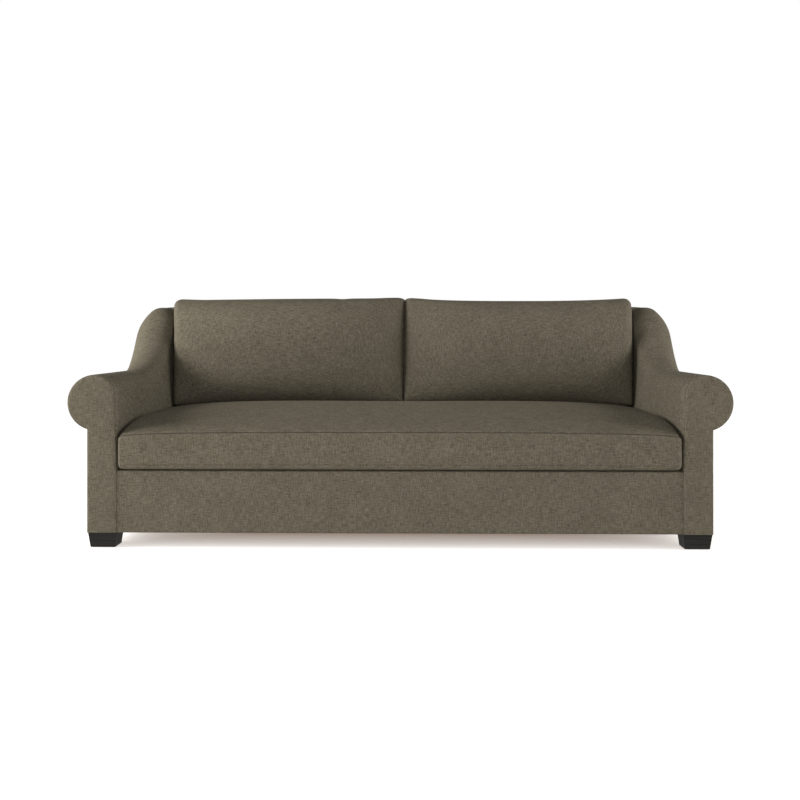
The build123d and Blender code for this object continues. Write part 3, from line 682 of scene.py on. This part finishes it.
INSIDE_FOOT = 0.830
INSIDE_SLOPE = 0.127
BACK_TOP_ROUND = 0.040
BACK_REAR_ROUND = 0.010
BACK_HALF = 1.12
BACK_CELL = 0.03
OUTSIDE_BACK = 0.006
BOARD_INSET = 0.008
BOARD_DEPTHS = (0.0055, 0.0020)
TOP_RISE = 0.004
TOP_RISE_RUN = 0.04
TOP_RISE_BAND = (0.05, 0.03)
BACK_UNDERLAP = 0.004
REAR_TURN_DOWN = (0.002, 0.03)
BACK_EDGE_STEP = 0.04
INSIDE_STEPS = 24
TOP_ROUND_STEPS = 9
REAR_ROUND_STEPS = 5
REAR_STEPS = 12
OUTSIDE_BACK_RINGS = (
    (0.0060, 0.004), (0.0050, 0.0015), (0.0038, 0.0003), (0.0026, 0.0002),
    (0.0014, 0.0014), (0.0005, 0.0034), (0.0, 0.0065), (0.0, 0.012),
)


def inside_of(height):
    """Where the inside back's cloth lies at a height."""
    return arm_front + INSIDE_FOOT + INSIDE_SLOPE * (height - deck_top)


rear_line = rear_of(back_top) - OUTSIDE_BACK
round_centre = (inside_of(back_top - BACK_TOP_ROUND) + BACK_TOP_ROUND, back_top - BACK_TOP_ROUND)
inside_foot = (inside_of(deck_top), deck_top - BACK_UNDERLAP)
inside_top = (round_centre[0] - BACK_TOP_ROUND, round_centre[1])
rear_round = (rear_line - BACK_REAR_ROUND, back_top - BACK_REAR_ROUND)
rear_top = (rear_line - REAR_TURN_DOWN[0], back_top - REAR_TURN_DOWN[1])
rear_foot = (rear_of(deck_top) - OUTSIDE_BACK, deck_top - BACK_UNDERLAP)
section = line_points(inside_foot, inside_top, INSIDE_STEPS)
section += arc_points(round_centre, BACK_TOP_ROUND, pi, pi / 2, TOP_ROUND_STEPS)
section += arc_points(rear_round, BACK_REAR_ROUND, pi / 2, 0, REAR_ROUND_STEPS)
section += line_points(rear_top, rear_foot, REAR_STEPS)
section = np.array(section)
rings = []
for x in even_steps(-BACK_HALF, BACK_HALF, BACK_CELL):
    rise = TOP_RISE * np.clip((BACK_HALF - abs(x)) / TOP_RISE_RUN, 0, 1)
    near_top = np.clip((section[:, 1] - back_top + TOP_RISE_BAND[0]) / TOP_RISE_BAND[1], 0, 1)
    heights = section[:, 1] + rise * near_top
    rings.append(np.stack([np.full(len(section), x), section[:, 0], heights], axis=1))
inside_back = tube("inside_back", rings, cover_cloth)
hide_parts("back_cover", "back_pad")
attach(inside_back, "frame")

half_outline = slimmed(arm_outline(back_top, foot_edge=0), back_top, 1.0)
roll_top = int(np.argmax(half_outline[:, 1]))
right_edge = half_outline[: roll_top + 1]
across = [(x, back_top) for x in even_steps(roll_centre, -roll_centre, BACK_EDGE_STEP)[1:-1]]
foot_end = outer_face - BACK_EDGE_STEP
below = [(x, arm_foot) for x in even_steps(-foot_end, foot_end, BACK_EDGE_STEP)]
left_edge = right_edge[::-1] * np.array([-1, 1])
back_outline = np.concatenate([right_edge, across, left_edge, below])
rings = []
for depth, draw in OUTSIDE_BACK_RINGS:
    outline = drawn_in(back_outline, draw)
    rings.append(np.stack([outline[:, 0], rear_of(outline[:, 1]) - depth, outline[:, 1]], axis=1))
# Its first two rings, round its edge, get painted seam shade.
outside_back = tube("outside_back", rings, cover_cloth, seams=(0, 1))
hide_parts("outside_back_cover")
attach(outside_back, "frame")

board_outline = drawn_in(back_outline, BOARD_INSET)
rings = [
    np.stack([board_outline[:, 0], rear_of(board_outline[:, 1]) - depth, board_outline[:, 1]], axis=1)
    for depth in BOARD_DEPTHS
]
back_board = tube("back_board", rings, hardboard)
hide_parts("outside_back_board")
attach(back_board, "frame")


# Seat cushion: one bench cushion of foam in a sewn cover, loose on the deck. A top and a bottom panel
# meet a border in plain seams, and the fill crowns the top and bows the front.

SEAT_SEAM = 0.4295
SEAT_SEAM_DROP = 0.011
SEAT_CROWN = 0.495
SEAT_END_DROP = 0.017
SEAM_CORNER_DROP = 0.006
SEAM_CORNER_POWER = 36
SEAT_FRONT_RUN = 0.300
SEAT_REAR_RUN = 0.110
SEAT_EDGE = (0.015, 0.015, 0.008)
SEAT_EDGE_STEPS = (0.0016, 0.0034, 0.0055)
SEAT_CELL = 0.015
SEAT_HALF = 1.0325
SEAT_PROUD = 0.006
SEAT_UNDER = 0.011
SEAT_UNDER_RUN = 0.05
SEAT_UNDER_POWER = 40
SEAT_LIFT = 0.0015
SEAT_REAR_GAP = 0.002
SEAT_END_ROUND = 0.020
SEAT_END_TUCK = 0.005
SEAT_END_POWER = 20
SEAT_END_RUN = 0.07
SEAT_END_CLIMB = 0.78
HELD_EDGE = 5
HELD_BELOW = 8
LOWER_SEAM = 0.020
# The lower seam line's share of the tuck and of the painted seam shade.
LOWER_SEAM_DEPTH_AND_SHADE = 0.3
SEAM_SIDE = 0.003
SEAT_PRESSURE = 1.2
SEAT_SINK = 0.007
FILL_FRAMES = 20
FILL_REACH = 0.024
SEAM_TUCK = 0.0026


def filled(cushion, held, pressure):
    """Fills a sewn cover: cloth under inner pressure, with its seams and rested sides held where they are."""
    mesh = cushion.data
    count = len(mesh.vertices)
    cut = np.empty(count * 3, np.float32)
    mesh.vertices.foreach_get("co", cut)
    pins = cushion.vertex_groups.new(name="held")
    pins.add([int(i) for i in np.flatnonzero(held)], 1.0, "REPLACE")
    cloth = cushion.modifiers.new("fill", "CLOTH")
    cloth.settings.quality = 4
    cloth.settings.mass = 0.4
    cloth.settings.tension_stiffness = 30
    cloth.settings.compression_stiffness = 30
    cloth.settings.shear_stiffness = 12
    cloth.settings.bending_stiffness = 1.5
    cloth.settings.air_damping = 2
    cloth.settings.use_pressure = True
    cloth.settings.uniform_pressure_force = pressure
    cloth.settings.vertex_group_mass = pins.name
    cloth.settings.effector_weights.gravity = 0
    cloth.collision_settings.use_collision = False
    cloth.point_cache.frame_start = 1
    cloth.point_cache.frame_end = FILL_FRAMES
    for step in range(1, FILL_FRAMES + 1):
        bpy.context.scene.frame_set(step)
    swollen = np.empty(count * 3, np.float32)
    cushion.evaluated_get(bpy.context.evaluated_depsgraph_get()).data.vertices.foreach_get("co", swollen)
    move = (swollen - cut).reshape(-1, 3)
    far = np.maximum(np.linalg.norm(move, axis=1, keepdims=True), 1e-9)
    move *= FILL_REACH * np.tanh(far / FILL_REACH) / far
    mesh.vertices.foreach_set("co", (cut.reshape(-1, 3) + move).ravel())
    cushion.modifiers.remove(cloth)
    cushion.vertex_groups.remove(pins)
    bpy.context.scene.frame_set(1)
    mesh.update()


def sewn(cushion, seam):
    """Pulls in a cushion's seams, marks them for painted shade in the cloth, and smooths the cover."""
    mesh = cushion.data
    for point in np.flatnonzero(seam):
        vertex = mesh.vertices[int(point)]
        vertex.co -= vertex.normal * SEAM_TUCK * float(seam[point])
    # The same marks darken the cloth's colour along the seams: painted shade.
    mark = mesh.attributes.new("seam", "FLOAT", "POINT")
    mark.data.foreach_set("value", seam.astype(np.float32))
    smooth = cushion.modifiers.new("smooth", "SUBSURF")
    smooth.levels = 1
    smooth.render_levels = 1


seat_low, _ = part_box("seat_cushion_cover")
seat_rear = arm_front + INSIDE_FOOT - SEAT_REAR_GAP
bottom = seat_low.z + SEAT_LIFT
heights = [bottom + step for step in (0.0, *SEAT_EDGE_STEPS, SEAT_EDGE[2])]
heights += [bottom + LOWER_SEAM - SEAM_SIDE, bottom + LOWER_SEAM, bottom + LOWER_SEAM + SEAM_SIDE]
heights += list(even_steps(bottom + LOWER_SEAM + SEAM_SIDE, SEAT_SEAM - SEAT_EDGE[2], SEAT_CELL)[1:])
heights += [SEAT_SEAM - step for step in (*SEAT_EDGE_STEPS[::-1], 0.0)]
low = (-SEAT_HALF, arm_front - SEAT_PROUD, bottom)
high = (SEAT_HALF, seat_rear, SEAT_SEAM)
lines = [edged_steps(low[axis], high[axis], SEAT_EDGE[axis], SEAT_CELL) for axis in (0, 1)] + [heights]
points, faces, keys = box_shell(lines)
points = soft_edges(points, low, high, SEAT_EDGE)
aside = np.abs(points[:, 0]) / high[0]
toward_end = aside**4
seam_height = SEAT_SEAM - SEAT_SEAM_DROP * toward_end - SEAM_CORNER_DROP * aside**SEAM_CORNER_POWER
under = np.clip(1 - (points[:, 2] - bottom) / LOWER_SEAM, 0, 1) ** 2
points[:, 0] -= np.sign(points[:, 0]) * SEAT_UNDER * under * aside**SEAT_UNDER_POWER
points[:, 1] += SEAT_UNDER * under * np.clip(1 - (points[:, 1] - low[1]) / SEAT_UNDER_RUN, 0, 1)
crown = SEAT_CROWN - SEAT_SINK - SEAT_END_DROP * toward_end
on_top = keys[:, 2] == len(heights) - 1
front_climb = np.clip((points[:, 1] - low[1]) / SEAT_FRONT_RUN, 0, 1)
rear_climb = np.clip((high[1] - points[:, 1]) / SEAT_REAR_RUN, 0, 1)
end_climb = np.clip((high[0] - np.abs(points[:, 0])) / SEAT_END_RUN, 0, 1)
climb = np.minimum.reduce([1 - (1 - front_climb) ** 2, 1 - (1 - rear_climb) ** 2]) ** 0.8
climb *= SEAT_END_CLIMB + (1 - SEAT_END_CLIMB) * (1 - (1 - end_climb) ** 2) ** 0.5
share = (points[:, 2] - bottom) / (SEAT_SEAM - bottom)
points[:, 2] = bottom + share * (seam_height - bottom) + on_top * climb * (crown - seam_height)
over = np.where(on_top, 1.0, np.clip(1 - (seam_height - points[:, 2]) / SEAT_END_ROUND, 0, 1))
end_tuck = SEAT_END_TUCK * (1 - np.sqrt(1 - over**2)) * (np.abs(points[:, 0]) / high[0]) ** SEAT_END_POWER
points[:, 0] -= np.sign(points[:, 0]) * end_tuck
on_front = (keys[:, 1] == 0) & ~on_top
on_edge = np.zeros(len(points), bool)
lower_line = (keys[:, 2] == heights.index(bottom + LOWER_SEAM)) & ~on_top
near_edge = np.zeros(len(points), bool)
for axis in (0, 1):
    last = len(lines[axis]) - 1
    on_edge |= (keys[:, axis] == 0) | (keys[:, axis] == last)
    near_edge |= (keys[:, axis] < HELD_EDGE) | (keys[:, axis] > last - HELD_EDGE)
upper_edge = on_top & on_edge
loose_up = (keys[:, 2] > HELD_BELOW) & (keys[:, 2] < len(heights) - 1 - HELD_EDGE)
loose_across = (keys[:, 0] > HELD_EDGE) & (keys[:, 0] < len(lines[0]) - 1 - HELD_EDGE)
free = (on_top & ~near_edge) | (on_front & loose_up & loose_across)
seat_cushion = new_piece("seat_cushion", points, faces, cover_cloth)
filled(seat_cushion, ~free, SEAT_PRESSURE)
# The upper seams are pulled in and given painted shade in full, the lower seam line in a smaller share.
seam_depths_and_shades = np.where(upper_edge, 1.0, LOWER_SEAM_DEPTH_AND_SHADE * lower_line)
sewn(seat_cushion, seam_depths_and_shades)
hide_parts("seat_cushion_cover", "seat_cushion_core")
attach(seat_cushion, "seat_cushion")


# Back cushions: two knife-edged cushions in sewn covers, loose against the inside back on the seat.
# One seam runs round the middle of each, and the soft fill rounds the front and sinks to the seat.

CUSHION_GAP = -0.003
MEETING_LOW = 0.0045
MEETING_RISE = 0.0065
INNER_PUFF = 0.5
OUTER_PUFF = 0.4
CUSHION_SIDE_GAP = 0.003
CUSHION_TOP = 0.946
CUSHION_HEIGHTS = (0.0, 0.05, 0.10, 0.20, 0.32, 0.45, 0.60, 0.75, 0.87, 1.0)
CUSHION_DEPTHS = (0.084, 0.112, 0.136, 0.168, 0.194, 0.213, 0.226, 0.226, 0.209, 0.160)
CUSHION_OUTER_CROWN = 0.33
CUSHION_INNER_CROWN = 0.54
CUSHION_EDGE = (0.046, 0.092, 0.030)
CUSHION_INNER_CORNER = 0.013
CUSHION_OUTER_CORNER = 0.034
CUSHION_LOWER_CORNER = 0.012
CUSHION_SQUARE_FOOT = 0.16
CUSHION_TOP_CORNER = 0.032
CUSHION_SINK = 0.014
CUSHION_TOP_FLARE = 0.004
CUSHION_LEFT_EXTRA = 0.006
CUSHION_PEAK = 0.0032
CUSHION_CELL = 0.016
CUSHION_HALF_DEPTH = 0.1
CUSHION_SEAM_RUN = 0.014
CUSHION_BEHIND = 0.001
CROWN_POWER = 2.3
FULL_ABOVE = 0.25
FLARE_START = 0.70
FLARE_RUN = 0.25
LEFT_SLOPE = (0.004, 0.0045)
LEFT_DENT = (0.003, 0.46, 0.05)
LEFT_CORNER = (0.006, 0.75, 0.25)
RIGHT_SAG = (0.0065, 0.0155, 2.5)
PEAK_PLACE = (0.90, 0.12)
CUSHION_PRESSURE = 1.0

cushion_half = (inner_face - CUSHION_SIDE_GAP - CUSHION_GAP / 2) / 2
cushion_middle = CUSHION_GAP / 2 + cushion_half
for side, hand in ((-1, "left"), (1, "right")):
    low = np.array((-cushion_half, -CUSHION_HALF_DEPTH, SEAT_CROWN - CUSHION_SINK))
    high = np.array((cushion_half, CUSHION_HALF_DEPTH, CUSHION_TOP))
    depth_lines = list(np.linspace(-CUSHION_HALF_DEPTH, -CUSHION_SEAM_RUN, 9)) + [-SEAM_SIDE, 0.0, SEAM_SIDE]
    depth_lines += list(np.linspace(CUSHION_SEAM_RUN, CUSHION_HALF_DEPTH, 7))
    lines = [edged_steps(low[axis], high[axis], CUSHION_EDGE[axis], CUSHION_CELL) for axis in range(3)]
    lines[1] = depth_lines
    points, faces, keys = box_shell(lines)
    edge = np.tile(CUSHION_EDGE, (len(points), 1))
    outer_share = (side * points[:, 0] / cushion_half + 1) / 2
    upper = CUSHION_INNER_CORNER + (CUSHION_OUTER_CORNER - CUSHION_INNER_CORNER) * outer_share
    in_upper_half = points[:, 2] > (low[2] + high[2]) / 2
    edge[:, 2] = np.where(in_upper_half, upper, CUSHION_LOWER_CORNER)
    bottom_share = np.clip(1 - (points[:, 2] - low[2]) / CUSHION_SQUARE_FOOT, 0, 1)
    edge[:, 0] -= (CUSHION_EDGE[0] - CUSHION_LOWER_CORNER) * bottom_share
    top_share = np.clip(1 - (high[2] - points[:, 2]) / CUSHION_SQUARE_FOOT, 0, 1)
    edge[:, 0] -= (CUSHION_EDGE[0] - CUSHION_TOP_CORNER) * top_share
    points = soft_edges(points, low, high, edge)
    across = points[:, 0] / cushion_half
    up = (points[:, 2] - low[2]) / (CUSHION_TOP - low[2])
    outward = side * across
    if hand == "left":
        wave = LEFT_SLOPE[0] - LEFT_SLOPE[1] * outward
        wave -= LEFT_DENT[0] * np.exp(-((across - LEFT_DENT[1]) / LEFT_DENT[2]) ** 2)
        wave += LEFT_CORNER[0] * np.clip((outward - LEFT_CORNER[1]) / LEFT_CORNER[2], 0, 1)
    else:
        wave = RIGHT_SAG[1] * np.abs(across) ** RIGHT_SAG[2] - RIGHT_SAG[0]
    wave += CUSHION_PEAK * np.exp(-((outward + PEAK_PLACE[0]) / PEAK_PLACE[1]) ** 2)
    world_x = np.abs(side * cushion_middle + points[:, 0])
    rest = -SEAT_END_DROP * (world_x / inner_face) ** 4
    points[:, 2] += np.clip(up, 0, 1) ** 3 * wave + (1 - np.clip(up, 0, 1)) ** 2 * rest
    thickness = np.interp(up, CUSHION_HEIGHTS, CUSHION_DEPTHS)
    fuller = np.interp(np.maximum(up, FULL_ABOVE), CUSHION_HEIGHTS, CUSHION_DEPTHS)
    puff = INNER_PUFF * np.clip(-outward, 0, 1) ** 3 + OUTER_PUFF * np.clip(outward, 0, 1) ** 3
    thickness += puff * (fuller - thickness)
    crown = np.where(outward > 0, CUSHION_OUTER_CROWN, CUSHION_INNER_CROWN)
    thickness *= 1 - crown * np.abs(across) ** CROWN_POWER
    rear = inside_of(points[:, 2]) - CUSHION_BEHIND
    points[:, 1] = rear - thickness * (CUSHION_HALF_DEPTH - points[:, 1]) / (2 * CUSHION_HALF_DEPTH)
    flare = CUSHION_TOP_FLARE + (CUSHION_LEFT_EXTRA if hand == "left" else 0)
    flaring = np.clip((up - FLARE_START) / FLARE_RUN, 0, 1)
    points[:, 0] += side * flare * np.clip(outward, 0, 1) ** 2 * flaring
    points[:, 0] += (MEETING_LOW + MEETING_RISE * np.clip(up, 0, 1)) * (1 - outward) / 2
    points[:, 0] += side * cushion_middle
    seam_line = keys[:, 1] == depth_lines.index(0.0)
    held = (keys[:, 1] >= depth_lines.index(-SEAM_SIDE)) | (keys[:, 2] == 0)
    held |= (keys[:, 0] == 0) | (keys[:, 0] == len(lines[0]) - 1)
    cushion = new_piece(f"back_cushion_{hand}", points, faces, cover_cloth)
    filled(cushion, held, CUSHION_PRESSURE)
    # The middle seam is pulled in and given painted shade.
    sewn(cushion, seam_line)
    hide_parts(f"back_cushion_cover_{hand}", f"back_cushion_core_{hand}")
    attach(cushion, f"back_cushion_{hand}")


# Studio: a pale floor that shows the sofa's own shadow, with a painted shadow in its glow under the sofa,
# and that is white farther off, with soft light from large panels at both sides and in front.
# The camera stands a little above the arms.

FLOOR_SIZE = 40
FLOOR_COLOUR = (0.94, 0.93, 0.92, 1)
# SHADOW_TINT is a painted shadow: the floor's glow is this dark and warm under the sofa's footprint.
SHADOW_TINT = (0.265, 0.195, 0.150, 1)
NEAR_FLOOR = (0.62, 0.585, 0.555, 1)
SIDE_FLOOR = (0.82, 0.82, 0.82, 1)
FAR_FLOOR = (1, 1, 1, 1)
FOOTPRINT = (1.25, 0.46)
FLOOR_REACH = 8
FLOOR_BANDS = (0.45, 1.0, 3.0)
FLOOR_BLEND = 0.2
LAMP_AIM = (0, 0, 0.5)
LENS = 41.42
CAMERA_PLACE = (0.0736, -3.8628, 0.785)
CAMERA_TURN = radians(0.975)
FRAME_SHIFT = (-0.0036, -0.0810)
AMBIENT = 0.06


def seen_directly(tree):
    """One for a ray that shows the background itself, and nought for light that falls on the sofa."""
    rays = add_node(tree, "LightPath", {})
    seen = calculate(tree, "MAXIMUM", rays["Is Camera Ray"], rays["Is Glossy Ray"])
    return calculate(tree, "MAXIMUM", seen, rays["Is Transmission Ray"])


floor_mesh = bpy.data.meshes.new("floor")
half = FLOOR_SIZE / 2
floor_corners = [(-half, -half, 0), (half, -half, 0), (half, half, 0), (-half, half, 0)]
floor_mesh.from_pydata(floor_corners, [], [(0, 1, 2, 3)])
floor = bpy.data.objects.new("floor", floor_mesh)
bpy.context.scene.collection.objects.link(floor)
floor_finish, tree, shader, place = new_finish("pale_floor")
shader.inputs["Base Color"].default_value = FLOOR_COLOUR
shader.inputs["Roughness"].default_value = 0.9
shader.inputs["Specular IOR Level"].default_value = 0
shares = []
for axis in (0, 1):
    distance = calculate(tree, "ABSOLUTE", along(tree, place["Object"], axis))
    shares.append(calculate(tree, "DIVIDE", distance, FOOTPRINT[axis]))
away = add_node(tree, "Math", {0: shares[0], 1: shares[1], 2: FLOOR_BLEND}, operation="SMOOTH_MAX")["Value"]
# Painted shadow: the glow is darkest under the footprint and rises through the near and side levels to white.
ramp = tree.nodes.new("ShaderNodeValToRGB")
ramp.color_ramp.elements[0].position = FLOOR_BANDS[0] / FLOOR_REACH
ramp.color_ramp.elements[0].color = SHADOW_TINT
ramp.color_ramp.elements[1].color = FAR_FLOOR
ramp.color_ramp.elements.new(FLOOR_BANDS[1] / FLOOR_REACH).color = NEAR_FLOOR
ramp.color_ramp.elements.new(FLOOR_BANDS[2] / FLOOR_REACH).color = SIDE_FLOOR
tree.links.new(calculate(tree, "DIVIDE", away, FLOOR_REACH), ramp.inputs["Fac"])
tree.links.new(ramp.outputs["Color"], shader.inputs["Emission Color"])
tree.links.new(seen_directly(tree), shader.inputs["Emission Strength"])
floor_mesh.materials.append(floor_finish)

world = bpy.data.worlds.new("studio")
bpy.context.scene.world = world
world.use_nodes = True
tree = world.node_tree
light_levels = {"To Min": AMBIENT, "To Max": 1.0}
strength = add_node(tree, "MapRange", {"Value": seen_directly(tree), **light_levels})["Result"]
background = tree.nodes["Background"]
background.inputs["Color"].default_value = (1, 1, 1, 1)
tree.links.new(strength, background.inputs["Strength"])

for name, place, size, power in (
    ("key_panel", (-4.2, -1.0, 1.8), 2.0, 202),
    ("fill_panel", (4.2, -1.0, 1.7), 2.0, 112),
    ("high_panel", (0, -4.4, 2.2), 2.4, 55),
    ("low_panel", (0, -3.2, 0.15), 1.2, 14),
):
    lamp = bpy.data.lights.new(name, "AREA")
    lamp.shape = "SQUARE"
    lamp.size = size
    lamp.energy = power
    panel = bpy.data.objects.new(name, lamp)
    panel.location = place
    aim = Vector(LAMP_AIM) - Vector(place)
    panel.rotation_euler = aim.to_track_quat("-Z", "Y").to_euler()
    bpy.context.scene.collection.objects.link(panel)

camera_data = bpy.data.cameras.new("camera")
camera_data.lens = LENS
camera_data.shift_x, camera_data.shift_y = FRAME_SHIFT
camera = bpy.data.objects.new("camera", camera_data)
camera.location = CAMERA_PLACE
camera.rotation_euler = (pi / 2, 0, CAMERA_TURN)
bpy.context.scene.collection.objects.link(camera)
bpy.context.scene.camera = camera
bpy.context.scene.view_settings.view_transform = "Standard"
